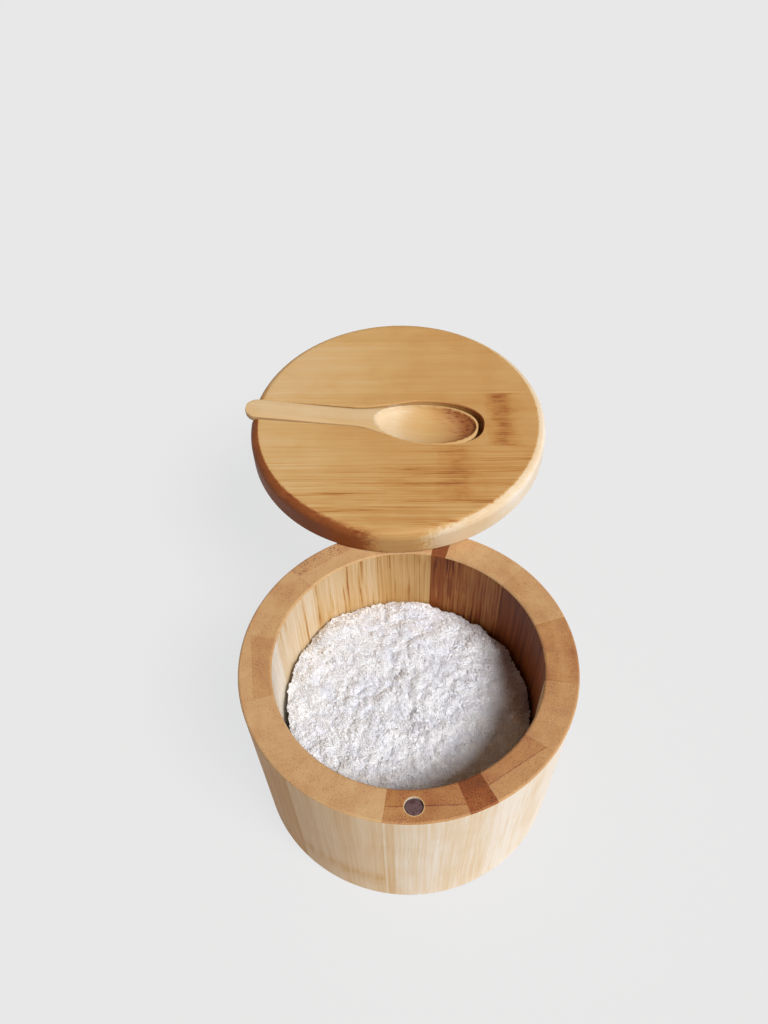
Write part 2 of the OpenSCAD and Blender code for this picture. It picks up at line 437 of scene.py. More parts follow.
def make_wall_material(name, band_contrast):
    material, tree, shader = new_material(name)

    def stored(label):
        return wire(tree, "ShaderNodeAttribute", None, "Fac", attribute_name=label)

    vector, upward = own_space(tree), facing(tree, (0, 0, 1))
    ends = step(abs(upward), 0.12, 0.5)
    flat = vectors("MULTIPLY", vector, (1, 1, 0))
    to_outside = step(vectors("LENGTH", flat), INNER_R + SIDE_BLEND, OUTER_R - SIDE_BLEND)
    outside_only = to_outside * (1.0 - ends)
    # The side depths carry the painted shade and painted light listed in the table of staves.
    side = mix(to_outside, stored("inside"), stored("outside"))
    outer_ply = step(stored("ply"), -PLY_BLEND, PLY_BLEND)
    end = mix(outer_ply, stored("inner_end"), stored("outer_end"))
    # Paler rounded edges and pocket ring: partly sanding, partly a painted highlight.
    rounding = step(upward, 0.3, 0.6) * step(upward, 0.8, 0.97, 1.0, 0.0)
    ring = step(vectors("DISTANCE", flat, (0, -PIN_R, 0)), *POCKET_RING, 1.0, 0.0)
    pale = calc("MAXIMUM", rounding * 0.06, ring * 0.26)

    seam = group(seam_group, vector, {"Distance": stored("seam")})[0]
    ply_line = group(seam_group, vector, {"Distance": stored("ply"), "Width": PLY_LINE_W})[0]
    knots = group(node_group, vector, {"Along": stored("node"), "Reach": NODE_REACH})[0]
    golden = step(stored("from_start"), *GOLDEN_IN) * step(stored("from_start"), *GOLDEN_OUT, 1.0, 0.0)
    marks = (seam * 0.07 + ply_line * stored("ply_line") * ends * 0.2 + knots * outside_only * 0.17
             + golden * stored("golden") * (1.0 - ends) * 0.15)
    finish_bamboo(shader, vector, mix(ends, side, end) - pale, {
        "Ends": ends, "Marks": marks,
        "Fibre Contrast": mix(to_outside, 0.5, 0.28),
        "Streak Contrast": mix(to_outside, stored("streaks"), 0.07),
        "Pore Contrast": 0.13 + outer_ply * stored("pores") * 0.34,
        "Band Contrast": mix(ends, band_contrast, 0.32)})
    return material


wall_bamboo = make_wall_material("wall_bamboo", 0.3)
dark_bamboo = make_wall_material("dark_bamboo", 0.25)
print("made", wall_bamboo.name, "and", dark_bamboo.name)

# %% [markdown]
# A stave follows a rule, so Geometry Nodes make it: a straight moulding with the wall's section,
# bent round the axis of the box. It could be cut from a turned ring instead, but bending needs no
# cutting between neighbours. The object starts as the flat outline of the section. The tree rounds
# its corners, runs it along a straight line, bends that and drills the bore for a magnet or a pin.
# Last it writes down, from each point's place, the attributes that the material reads: after the
# drilling, because a cut's new points know nothing of what was stored before.

# %% Geometry nodes: stave
STAVE_DEPTHS = ["outside", "inside", "outer_end", "inner_end", "streaks"]
STAVE_LOOK = [*STAVE_DEPTHS, "ply_line", "pores", "golden"]
DRILL_L = 40 * MM


def add_bore(mesh, foot, radius):
    """Drills an upright round bore, open at the top, whose bottom centre is the point foot."""
    tree = mesh.tree
    drill = wire(tree, "GeometryNodeMeshCylinder", {"Vertices": 64, "Radius": radius, "Depth": DRILL_L})
    middle = vectors("ADD", foot, (0, 0, DRILL_L / 2))
    drill = wire(tree, "GeometryNodeTransform", {"Geometry": drill, "Translation": middle})
    return wire(tree, "GeometryNodeMeshBoolean", {"Mesh 1": mesh, "Mesh 2": drill}, operation="DIFFERENCE",
                solver="EXACT")


def end_tree(result, geometry, material):
    """The end of both trees below: real faces, with their material."""
    real = wire(geometry.tree, "GeometryNodeRealizeInstances", {0: geometry})
    plug(result, {0: wire(real.tree, "GeometryNodeSetMaterial", {"Geometry": real, "Material": material})})


def make_stave_tree():
    tree, given, result = new_tree(
        "stave bent round the box",
        {"Section": "Geometry", "Start Angle": 0.0, "End Angle": 30.0, "Edge Rounding": EDGE_R,
         "Segments": 16, "Ply Angle": 0.0, "Ply Radius": 44 * MM, "Node Height": 1.0, "Bored": False,
         "Bore Foot": (0, 0, 0), "Bore Radius": 2 * MM, **dict.fromkeys(STAVE_LOOK, 0.0),
         "Material": "Material"},
        {"Stave": "Geometry"}, "GeometryNodeTree")
    outline = wire(tree, "GeometryNodeMeshToCurve", {"Mesh": given["Section"]})
    rounded = wire(tree, "GeometryNodeFilletCurve", {"Curve": outline, "Radius": given["Edge Rounding"],
                                                     "Count": 4, "Limit Radius": True}, mode="POLY")
    line = wire(tree, "GeometryNodeCurvePrimitiveLine", {"Start": (0, 0, 0), "End": (0, 1, 0)})
    rail = wire(tree, "GeometryNodeResampleCurve", {"Curve": line, "Count": given["Segments"]})
    moulding = wire(tree, "GeometryNodeCurveToMesh",
                    {"Curve": rail, "Profile Curve": rounded, "Fill Caps": True})
    outward = wire(tree, "GeometryNodeFlipFaces", {"Mesh": moulding})

    start = calc("RADIANS", given["Start Angle"])
    width = calc("RADIANS", given["End Angle"]) - start
    radius, share, depth = split(wire(tree, "GeometryNodeInputPosition"))
    angle = start + share * width
    bent = wire(tree, "ShaderNodeCombineXYZ", {"X": radius * calc("SINE", angle),
                                               "Y": radius * calc("COSINE", angle) * -1.0, "Z": depth * -1.0})
    in_place = wire(tree, "GeometryNodeSetPosition", {"Geometry": outward, "Position": bent})
    bored = add_bore(in_place, given["Bore Foot"], given["Bore Radius"])
    stave = wire(tree, "GeometryNodeSwitch", {"Switch": given["Bored"], "False": in_place, "True": bored},
                 input_type="GEOMETRY")

    x, y, height = split(wire(tree, "GeometryNodeInputPosition"))
    radius = calc("SQRT", x * x + y * y)
    around = calc("ARCTAN2", x, y * -1.0)
    turn = calc("WRAP", around - start, math.tau - 0.5, -0.5)
    from_ply = calc("COSINE", around - calc("RADIANS", given["Ply Angle"]))
    values = {"seam": calc("MINIMUM", turn, width - turn) * radius, "from_start": turn * radius,
              "ply": radius * from_ply - given["Ply Radius"], "node": height - given["Node Height"],
              **{label: given[label] for label in STAVE_LOOK}}
    for label, value in values.items():
        stave = wire(tree, "GeometryNodeStoreNamedAttribute",
                     {"Geometry": stave, "Name": label, "Value": value}, data_type="FLOAT", domain="POINT")
    end_tree(result, stave, given["Material"])
    return tree


stave_tree = make_stave_tree()
print("stave tree inputs:", [i.name for i in stave_tree.interface.items_tree if i.in_out == "INPUT"])

# %% [markdown]
# A few more helpers are shared by all pieces. A modifier's inputs are set by their socket's
# identifier. A finished piece is the evaluated mesh of the object that was worked on, with smooth
# faces between its sharp edges. Where narrow bevels meet a large flat face, the face's own normal
# goes first, or its long triangles would show. The piece stands for its engineering node and rides
# on that node's body.


# %% Helpers for pieces
def worked(name, mesh):
    """An object to work on, which becomes a piece later or only cuts others."""
    obj = bpy.data.objects.new(name, mesh)
    scene.collection.objects.link(obj)
    return obj


def grow(obj, tree, values):
    """Puts a geometry node tree on an object and sets its inputs."""
    modifier = obj.modifiers.new(tree.name, "NODES")
    modifier.node_group = tree
    for item in tree.interface.items_tree:
        if item.name in values and item.in_out == "INPUT":
            modifier[item.identifier] = values[item.name]


def settled(name, obj):
    """The evaluated mesh of obj, which is removed."""
    bpy.context.view_layer.update()
    mesh = bpy.data.meshes.new_from_object(obj.evaluated_get(bpy.context.evaluated_depsgraph_get()))
    mesh.name = name
    bpy.data.objects.remove(obj)
    return mesh


def piece(name, obj, body, node, material=None, sharp=30, flat_first=False):
    """The finished piece: obj's evaluated mesh, smooth between its sharp edges, in a plain object."""
    mesh = settled(name, obj)
    mesh.shade_smooth()
    mesh.set_sharp_from_angle(angle=math.radians(sharp))
    if flat_first:
        shaded = worked(name, mesh)
        shaded.modifiers.new("flat faces stay flat", "WEIGHTED_NORMAL").keep_sharp = True
        mesh = settled(name, shaded)
    if material:
        mesh.materials.clear()
        mesh.materials.append(material)
    done = worked(name, mesh)
    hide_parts(node)
    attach(done, body)
    return done


# %% [markdown]
# The table has one row for each stave: the angle of its first seam, from the front round by the
# right, the depths of its outside, its inside and its outer and inner ends, and the strength of the
# streaks on its inside. Then comes what only a few staves have: a line between two plies, dark pores,
# a golden strip, a bamboo node at some height, or the bore for the magnet or the pin.

# %% The fourteen staves
SEGMENT_TURN = 1.5
DARK_STAVES = (4, 10)
POCKET_R, POCKET_DEEP = 2.65 * MM, 3.6 * MM
PIN_BORE_R, PIN_BORE_DEEP = 2.05 * MM, 18 * MM


def ply(line, angle, radius):
    """The line between two plies: how dark, facing which way, and how far from the axis."""
    return {"ply_line": line, "Ply Angle": angle, "Ply Radius": radius * MM}


def bore(y, depth, radius):
    return {"Bored": True, "Bore Foot": (0, y, WALL_H - depth), "Bore Radius": radius}


# Painted shade and light in the depths: the outsides of staves 1, 2 and 14 and the insides of 7, 8 and 9 are
# deeper, as painted shade; the outsides of 5 and 6 and the insides of 1 and 14 are paler, as painted light.
STAVES = [
    (-76, 0.42, 0.0, 0.49, 0.48, 0.08, {}),
    (-44, 0.18, 0.26, 0.48, 0.47, 0.08, {"Node Height": 17 * MM}),
    (-10, 0.06, 0.26, 0.62, 0.65, 0.08,
     {"golden": 1.0, **ply(1.0, 0.0, 44.9), **bore(-PIN_R, POCKET_DEEP, POCKET_R)}),
    (17.5, 0.09, 0.74, 0.77, 0.82, 0.3, {"pores": 0.3}),
    (27, 0.03, 0.26, 0.57, 0.62, 0.08, ply(1.0, 32.5, 44.3)),
    (52, 0.0, 0.26, 0.55, 0.56, 0.08, {}),
    (79, 0.09, 0.84, 0.6, 0.62, 0.08, {"Node Height": 47 * MM}),
    (106, 0.09, 0.86, 0.52, 0.54, 0.08, {}),
    (131, 0.09, 0.65, 0.49, 0.5, 0.35, {}),
    (160.5, 0.09, 0.74, 0.77, 0.82, 0.3, {"pores": 0.3}),
    (167, 0.09, 0.4, 0.48, 0.5, 0.4, bore(PIN_R, PIN_BORE_DEEP, PIN_BORE_R)),
    (192, 0.09, 0.28, 0.53, 0.47, 0.5, {"pores": 1.0, "Node Height": 30 * MM, **ply(0.0, 212.0, 44.8)}),
    (225.5, 0.2, 0.15, 0.51, 0.53, 0.35, {}),
    (257, 0.4, 0.0, 0.5, 0.56, 0.08, ply(0.3, 275.0, 45.5)),
]
SECTION = [
    (INNER_R + REBATE_W, 0), (OUTER_R, 0), (OUTER_R, WALL_H),
    (INNER_R, WALL_H), (INNER_R, BOTTOM_T), (INNER_R + REBATE_W, BOTTOM_T),
]
corners = len(SECTION)
section = bpy.data.meshes.new("section")
section.from_pydata([(r, z, 0) for r, z in SECTION], [(i, (i + 1) % corners) for i in range(corners)], [])

next_seams = [row[0] for row in STAVES[1:]] + [STAVES[0][0] + 360]
for number, ((start, *depths, more), end) in enumerate(zip(STAVES, next_seams), 1):
    name = f"stave_{number:02d}"
    dark = number in DARK_STAVES
    stave = worked(name + "_wood", section)
    grow(stave, stave_tree, {
        "Start Angle": float(start), "End Angle": float(end),
        "Segments": int((end - start) / SEGMENT_TURN) + 3, "Edge Rounding": EDGE_R,
        "Material": dark_bamboo if dark else wall_bamboo, "Ply Angle": (start + end) / 2,
        **dict(zip(STAVE_DEPTHS, depths)), **more})
    done = piece(name + "_wood", stave, "box", name,
                 flat_first=True)
print("staves:", len(STAVES), "last one has", len(done.data.polygons), "faces")

# %% [markdown]
# ## The bottom
#
# The bottom disc sits in the rebate at the foot of the staves, flush with their ends. It is a plain
# turned board with its fibres lying across the box. It shows from below only, where its grain and
# a few glue seams give it away as a strip-built board. A lathe spins its outline.


# %% A lathe
def skin(shape, low, high):
    """Faces between two closed rings of points. One of the rings may be a single point."""
    count = max(len(low), len(high))
    for k in range(count):
        after = (k + 1) % count
        if len(low) == 1:
            shape.faces.new((low[0], high[after], high[k]))
        elif len(high) == 1:
            shape.faces.new((low[k], low[after], high[0]))
        else:
            shape.faces.new((low[k], low[after], high[after], high[k]))


def as_mesh(name, shape, place=Matrix()):
    """The mesh of a finished shape, moved to its place."""
    mesh = bpy.data.meshes.new(name)
    shape.to_mesh(mesh)
    shape.free()
    mesh.transform(place)
    return mesh


def turned(name, outline, steps=128, place=Matrix()):
    """Spins an outline of (radius, height) that starts and ends on the axis."""
    shape = bmesh.new()
    rings = []
    for radius, height in outline:
        turns = [math.tau * k / steps for k in range(steps if radius else 1)]
        rings.append([shape.verts.new((radius * math.cos(t), radius * math.sin(t), height)) for t in turns])
    for low, high in zip(rings, rings[1:]):
        skin(shape, low, high)
    return as_mesh(name, shape, place)


def eased_disc(radius, bottom, top, foot_easing, top_easing, top_steps=4):
    """The outline of a disc with rounded edges."""
    foot_turns, top_turns = ([math.radians(90 * k / steps) for k in range(steps + 1)]
                             for steps in (4, top_steps))
    foot = [(radius - foot_easing + foot_easing * math.sin(t),
             bottom + foot_easing - foot_easing * math.cos(t)) for t in foot_turns]
    head = [(radius - top_easing + top_easing * math.cos(t),
             top - top_easing + top_easing * math.sin(t)) for t in top_turns]
    return [(0, bottom), *foot, *head, (0, top)]


# %% Material and piece: bottom disc
BOTTOM_GRAIN, BOTTOM_STRIP, BOTTOM_EASING = math.radians(35), 11 * MM, 0.25 * MM
FAR_OFF = 0.1


def board_coordinates(tree, centre, turn):
    """Space moved to a board's centre and turned, so that the fibres run along Z."""
    moved = vectors("SUBTRACT", own_space(tree), centre)
    level = wire(tree, "ShaderNodeVectorRotate", {"Vector": moved, "Axis": (0, 0, 1), "Angle": -turn})
    along, across, up = split(level)
    upright = wire(tree, "ShaderNodeCombineXYZ", {"X": across, "Y": up, "Z": along})
    return upright, facing(tree, (math.cos(turn), math.sin(turn), 0)), across, along


def make_base_material():
    material, tree, shader = new_material("base_bamboo")
    vector, facing_end, across, _ = board_coordinates(tree, (0, 0, 0), BOTTOM_GRAIN)
    seam = group(seam_group, vector, {"Distance": calc("PINGPONG", across + FAR_OFF, BOTTOM_STRIP)})[0]
    finish_bamboo(shader, vector, 0.3, {"Ends": step(abs(facing_end), 0.45, 0.85), "Marks": seam * 0.12,
                                        "Fibre Contrast": 0.16, "Band Contrast": 0.2})
    return material


base_bamboo = make_base_material()
disc_r = foot_high.x
disc = worked("bottom_disc_wood",
              turned("bottom", eased_disc(disc_r, 0, BOTTOM_T, BOTTOM_EASING, BOTTOM_EASING)))
piece("bottom_disc_wood", disc, "box", "bottom_disc", base_bamboo)
print("bottom disc radius", round(disc_r / MM, 2), "mm")

# %% [markdown]
# ## Pin and magnets
#
# The pin is ground steel with rounded ends, and it shows only as a shadow between rim and lid.
# The two magnets are small plated discs with rounded edges, dulled by handling and by salt. Their
# dark reddish colour is partly tarnish and partly a painted dark reflection. They share one kind of
# metal finish: bare metal whose roughness varies with smudges and scratches.


# %% Materials: metals
def make_metal(name, colour, dull_colour, polished, dulled):
    material, tree, shader = new_material(name)
    smudges, scratches = group(handling_group, own_space(tree), {"Smudge Size": 1.6 * MM})
    plug(shader, {"Base Color": blend(smudges, colour, dull_colour), "Metallic": 1.0,
                  "Roughness": mix(smudges, polished, dulled),
                  "Normal": relief(scratches * -1.0, 0.02 * MM, 0.5)})
    return material


# The magnet's dark reddish colour is partly tarnish and partly a painted dark reflection.
plated = make_metal("magnet", (0.17, 0.10, 0.10), (0.09, 0.045, 0.045), 0.3, 0.5)
ground_steel = make_metal("pin_steel", (0.62, 0.61, 0.60), (0.42, 0.40, 0.38), 0.22, 0.42)
print("made", plated.name, "and", ground_steel.name)


# %% Pieces: pin and magnets
def turned_like(node, easing):
    """Turned rod or disc with eased edges, in the place of an upright round engineering node."""
    low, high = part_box(node)
    outline = eased_disc((high.x - low.x) / 2, low.z, high.z, easing, easing)
    return turned(node, outline, 64, Matrix.Translation(((low.x + high.x) / 2, (low.y + high.y) / 2, 0)))


for node, body, slot, easing, metal in (
        ("box_magnet", "box", "magnet", 0.25 * MM, plated),
        ("lid_magnet", "swivel_lid", "magnet", 0.25 * MM, plated),
        ("pivot_pin", "swivel_lid", "pin_steel", 0.4 * MM, ground_steel)):
    done = piece(node + "_metal", worked(node, turned_like(node, easing)), body, node, metal, 40)
    print(done.name, "has", len(done.data.polygons), "faces")

# %% [markdown]
# ## The spoon
#
# A small spoon cut from one strip of bamboo, its fibres running down the handle. The handle flows
# into a teardrop bowl. Its outline, its top and its underside are simple functions of the distance
# from the handle's end, the same that the engineering model uses, so a fine mesh is laid over them:
# stations along the spoon, each with a row of points over the top and another below.

# %% Form of the spoon
SPOON_L, HANDLE_HALF, HANDLE_T = 80 * MM, 4.2 * MM, 3.4 * MM
BOWL_TIP, BOWL_NECK, BOWL_HALF, BOWL_H = 17 * MM, 26 * MM, 9.5 * MM, 5.6 * MM
HOLLOW_L, HOLLOW_DEPTH, BOWL_RIM = 33.8 * MM, 3.6 * MM, 0.8 * MM
HANDLE_RISE, BOWL_DROP, CROWN = 0.8 * MM, 0.9 * MM, 0.7 * MM
WIDEST_X = SPOON_L - BOWL_TIP
NECK_X = WIDEST_X - BOWL_NECK
WAIST, OVAL, END_SHARE = 0.06, 2.3, 0.6


def smooth(a, b, x):
    t = min(1, max(0, (x - a) / (b - a)))
    return t * t * (3 - 2 * t)


def round_end(x, r):
    return 1 if x >= r else math.sqrt(max(0, 1 - (1 - x / r) ** 2))


def bowl_share(x):
    return smooth(NECK_X, WIDEST_X, x)


def tip_share(x):
    return 1 if x <= WIDEST_X else max(0, 1 - ((x - WIDEST_X) / BOWL_TIP) ** OVAL) ** (1 / OVAL)


def spoon_half_at(x):
    handle = HANDLE_HALF * round_end(x, HANDLE_HALF) * (1 - WAIST * smooth(0, NECK_X, x))
    return (handle * (1 - bowl_share(x)) + BOWL_HALF * bowl_share(x)) * tip_share(x)


def spoon_top_at(x):
    return HANDLE_RISE * (1 - smooth(0, NECK_X, x)) - BOWL_DROP * bowl_share(x)


def spoon_under_at(x):
    handle = HANDLE_T * (END_SHARE + (1 - END_SHARE) * round_end(x, HANDLE_HALF))
    return spoon_top_at(x) - handle * (1 - bowl_share(x)) - BOWL_H * tip_share(x) * bowl_share(x)


print("bowl is", round(2 * spoon_half_at(WIDEST_X) / MM, 1), "mm wide")

# %% [markdown]
# The spoon lies in the lid's recess, at a small angle to the grain. One matrix takes a point from
# the spoon's own space, where the handle's end is at 0 and the lid's top at height 0, to its place.

# %% Mesh of the spoon
SPOON_ANGLE, SPOON_OFF, OVERHANG = 9, 0.3 * MM, 2.6 * MM
end_x = -math.sqrt(OUTER_R ** 2 - SPOON_OFF ** 2) - OVERHANG
LID_TURN = Matrix.Translation((0, PIN_R, LID_Z)) @ spun(180, "Z") @ Matrix.Translation((0, -PIN_R, 0))
SPOON_PLACE = (LID_TURN @ Matrix.Translation((0, 0, LID_T)) @ spun(180 - SPOON_ANGLE, "Z")
               @ Matrix.Translation((end_x, -SPOON_OFF, 0)))
HOLLOW_X = SPOON_L - BOWL_RIM - HOLLOW_L / 2
FIRST_X = 0.24 * MM


def hollow_at(x, y):
    """Floor of the bowl's hollow, or a height above the spoon outside it."""
    inside = 1 - ((x - HOLLOW_X) / (HOLLOW_L / 2)) ** 2 - (y / (BOWL_HALF - BOWL_RIM)) ** 2
    return -BOWL_DROP - HOLLOW_DEPTH * inside ** 0.5 if inside > 0 else 1


def spoon_mesh(stations=200, across=36):
    shape = bmesh.new()
    rings = [[shape.verts.new((FIRST_X, 0, HANDLE_RISE - HANDLE_T * END_SHARE / 2))]]
    for i in range(1, stations):
        x = FIRST_X + (SPOON_L - FIRST_X) * (1 - math.cos(math.pi * i / stations)) / 2
        half, top, under = spoon_half_at(x), spoon_top_at(x), spoon_under_at(x)
        widest = max(top - CROWN, (top + under) / 2)
        power = 0.5 + 0.4 * bowl_share(x)
        ring = []
        for k in range(2 * across):
            turn = math.pi * k / across
            y = half * math.cos(turn)
            lift = max(0, 1 - abs(math.cos(turn)) ** (4 if k < across else 2 / power))
            if k < across:
                z = min(widest + (top - widest) * lift ** 0.25, hollow_at(x, y))
            else:
                z = widest - (widest - under) * lift ** (power / 2)
            ring.append(shape.verts.new((x, y, z)))
        rings.append(ring)
    rings.append([shape.verts.new((SPOON_L, 0, -BOWL_DROP - CROWN))])
    for low, high in zip(rings, rings[1:]):
        skin(shape, low, high)
    bmesh.ops.recalc_face_normals(shape, faces=shape.faces)
    return as_mesh("spoon", shape, SPOON_PLACE)


spoon_form = spoon_mesh()
print("spoon has", len(spoon_form.polygons), "faces")

# %% [markdown]
# The hollow's far end cuts across the fibres and faces away from the key: it is darker and dotted,
# partly as end grain that soaks up more oil and partly as painted shade. Its near end faces the key
# and is pale, which is painted light.

# %% Material of the spoon
LID_TOP_CENTRE = (0, 2 * PIN_R, LID_Z + LID_T)


def make_spoon_material():
    material, tree, shader = new_material("spoon_bamboo")
    vector, facing_end, _, along = board_coordinates(tree, LID_TOP_CENTRE, math.radians(-SPOON_ANGLE))
    hollow = step(along, -10 * MM, 12 * MM)
    # Painted shade on the hollow's far end, partly end grain; painted light on its near end.
    torn_grain_and_shade = step(facing_end, 0.06, -0.3) * hollow
    lit_near_end = (step(facing_end, 0.0, 0.2) * step(along, -14 * MM, -7 * MM)
             * step(along, -2 * MM, 9 * MM, 1.0, 0.0))
    finish_bamboo(shader, vector, mix(lit_near_end, mix(torn_grain_and_shade, 0.28, 0.6) + hollow * 0.08, 0.15), {
        "Ends": torn_grain_and_shade * 0.8, "Fibre Contrast": 0.16, "Streak Contrast": 0.03, "Band Contrast": 0.16,
        "Pore Contrast": 0.35})
    return material


spoon_bamboo = make_spoon_material()
spoon = piece("spoon_wood", worked("spoon form", spoon_form), "loose_spoon", "spoon",
              spoon_bamboo, 75)
print("made", spoon.name)

# %% [markdown]
# ## The lid
#
# A board of bamboo strips, turned round with a softly rounded top edge. The recess for the spoon is
# milled into it: a slot for the handle that runs out through the edge, and a deeper bed for the
# bowl. The board is spun on the lathe, and the recess, the pin's seat and the magnet's pocket are
# cut out of it as on the real one. The recess's cutter flares out at its top, which eases the sharp
# edge as a touch of sandpaper does.

# %% Cutter for the recess
RECESS_FIT, TIP_ROOM, FLOOR_FIT = 0.5 * MM, 1.2 * MM, 0.2 * MM
HANDLE_SLOT = HANDLE_T + FLOOR_FIT
BOWL_SLOT = BOWL_DROP + BOWL_H + FLOOR_FIT
RECESS_TIP = SPOON_L + RECESS_FIT + TIP_ROOM
SLOT_PAST_EDGE, STEP_ROOM, STEP_RUN = 1 * MM, 0.6 * MM, 0.3 * MM


def recess_half_at(x):
    if x > WIDEST_X:
        x = WIDEST_X + (x - WIDEST_X) * BOWL_TIP / (BOWL_TIP + RECESS_FIT + TIP_ROOM)
    return spoon_half_at(x) + RECESS_FIT


def recess_cutter(stations=56, easing=0.3 * MM):
    """A cutter with the recess's outline. Its floor steps down from the handle's slot to the bowl's bed."""
    start = -OVERHANG - SLOT_PAST_EDGE
    spread = [start + (RECESS_TIP - start) * (1 - math.cos(math.pi * i / stations)) / 2
              for i in range(stations + 1)]
    places = [x for x in spread if x > 2 * HANDLE_HALF and abs(x - NECK_X) > STEP_ROOM]
    places = sorted([start, NECK_X, NECK_X + STEP_RUN, *places])
    halves = [recess_half_at(max(x, 2 * HANDLE_HALF)) for x in places]
    floors = [-HANDLE_SLOT if x <= NECK_X else -BOWL_SLOT for x in places]
    one_side = list(zip(places, halves, floors))
    outline = [(x, -h, z) for x, h, z in one_side] + [(x, h, z) for x, h, z in reversed(one_side)]
    shape = bmesh.new()
    rings = [[shape.verts.new(point) for point in outline]]
    for height, flare in ((-easing, 0), (easing, 2 * easing)):
        ring = []
        for k, (x, y, _) in enumerate(outline):
            (x0, y0, _), (x1, y1, _) = outline[k - 1], outline[(k + 1) % len(outline)]
            away = Vector((y1 - y0, x0 - x1)).normalized() * flare
            ring.append(shape.verts.new((x + away.x, y + away.y, height)))
        rings.append(ring)
    floor_ring = rings[0]
    for k in range(len(places) - 1):
        shape.faces.new((floor_ring[k], floor_ring[k + 1], floor_ring[-2 - k], floor_ring[-1 - k]))
    shape.faces.new(rings[-1])
    for low, high in zip(rings, rings[1:]):
        skin(shape, low, high)
    bmesh.ops.recalc_face_normals(shape, faces=shape.faces)
    return worked("recess", as_mesh("recess", shape, SPOON_PLACE))


print("recess is", round(HANDLE_SLOT / MM, 1), "mm deep at the handle and",
      round(BOWL_SLOT / MM, 1), "at the bowl")

# %% [markdown]
# The lid's material shows the strips of its board: each has a tone of its own, hairline seams
# between them, and a node mark in two of them. The fibres run from left to right, a touch askew. At
# the rounded ends the tone changes as soon as the fibres are cut, along a slightly ragged line: the
# right end is pale, which is painted light, and the left one brown, which is painted shade, darkest
# towards the front. The milled recess is paler than the top, which is painted light that lifts its
# deep shade.

# %% Material: lid bamboo
STRIP_W, STRIP_EDGE = 24.6 * MM, -12.6 * MM
GRAIN_TURN = math.radians(-2.5)
RIGHT_KNOT, FRONT_KNOT = (0, 36 * MM, 7 * MM), (-1, 21 * MM, 9 * MM)


def make_lid_material():
    material, tree, shader = new_material("lid_bamboo")
    vector, facing_end, across, along = board_coordinates(tree, LID_TOP_CENTRE, GRAIN_TURN)
    counted = (across - STRIP_EDGE) / STRIP_W
    strip = calc("FLOOR", counted)
    chance = wire(tree, "ShaderNodeTexWhiteNoise", {"W": strip}, "Value", noise_dimensions="1D")
    seam = group(seam_group, vector, {"Distance": calc("PINGPONG", counted, 0.5) * STRIP_W})[0]
    front = step(across, -6 * MM, -30 * MM)
    depth = (step(along - across * 0.25, -48 * MM, 14 * MM, 0.35, 0.47) + (chance - 0.5) * 0.04
             + front * 0.02)

    def knot(number, place, reach):
        """A node mark in one strip only."""
        mark = group(node_group, vector, {"Along": along - place, "Reach": reach})[0]
        return mark * step(abs(strip - number), 0.4, 0.6, 1.0, 0.0)

    below = split(vector)[1]
    radius = vectors("LENGTH", vectors("MULTIPLY", vector, (1, 0, 1)))
    # Painted light: the milled recess is made paler, to lift its deep shade.
    recess_painted_light = step(below, -0.3 * MM, -1.5 * MM) * step(radius, 44 * MM, 47 * MM, 1.0, 0.0)
    marks = seam * 0.05 + knot(*RIGHT_KNOT) * 0.26 + knot(*FRONT_KNOT) * 0.13 - recess_painted_light * 0.16
    ragged = facing_end + (noise_at(vector, 900.0, 2.0) - 0.5) * 0.25
    ends = calc("MAXIMUM", step(ragged, 0.12, 0.3), step(ragged, -0.02, -0.26))
    # Painted shade on the left end, darkest towards the front, and painted light on the right end.
    shaded_left_end = step(across, -2 * MM, 20 * MM, 0.77, 0.42)
    end_depth_lit_and_shaded = step(facing_end, -0.25, 0.2, shaded_left_end, 0.16) - step(facing_end, 0.45, 0.85, 0.0, 0.14)
    front_top = front * step(below, -3 * MM, -1 * MM)
    finish_bamboo(shader, vector, mix(ends, depth, end_depth_lit_and_shaded), {
        "Ends": ends * 0.5, "Marks": marks, "Fibre Contrast": mix(front_top, 0.14, 0.42),
        "Streak Contrast": mix(front_top, 0.02, 0.22), "Band Contrast": 0.24, "Pore Contrast": 0.1})
    return material


lid_bamboo = make_lid_material()
print("made", lid_bamboo.name)

# %% Piece: lid
LID_FOOT_EASING, LID_TOP_R = 0.3 * MM, 3.2 * MM
PIN_SEAT_R, PIN_SEAT_DEEP = 2 * MM, 6 * MM
BELOW_LID = 1 * MM


def rod(name, y, radius, depth):
    """An upright round cutter that reaches into the lid from below."""
    low, high = LID_Z - BELOW_LID, LID_Z + depth
    return worked(name, turned(name, [(0, low), (radius, low), (radius, high), (0, high)], 64,
                               Matrix.Translation((0, y, 0))))


board = worked("lid board", turned(
    "lid board", eased_disc(OUTER_R, 0, LID_T, LID_FOOT_EASING, LID_TOP_R, 10), 256))
board.data.transform(LID_TURN)
cutters = [recess_cutter(), rod("pin seat", PIN_R, PIN_SEAT_R, PIN_SEAT_DEEP),
           rod("lid magnet pocket", 3 * PIN_R, POCKET_R, POCKET_DEEP)]
for cutter in cutters:
    cut = board.modifiers.new("cut " + cutter.name, "BOOLEAN")
    cut.operation, cut.solver, cut.object = "DIFFERENCE", "EXACT", cutter
lid = piece("lid_wood", board, "swivel_lid", "lid", lid_bamboo, 35, flat_first=True)
for cutter in cutters:
    bpy.data.objects.remove(cutter)
print("lid has", len(lid.data.polygons), "faces")

# %% [markdown]
# ## The salt
#
# Coarse salt lies in the box as a mound of soft clumps, with two low peaks at the back, and it slopes
# down towards the back right. It draws back a little from the wall, most of all on the left, where a
# dark gap shows. Up close it is loose crystals. The heap's body is a mesh whose height is a sum of
# round clumps and soft swells, and Geometry Nodes strew three sizes of crystals over it, so densely
# that they hide it. Each crystal has few faces, because there are thousands.

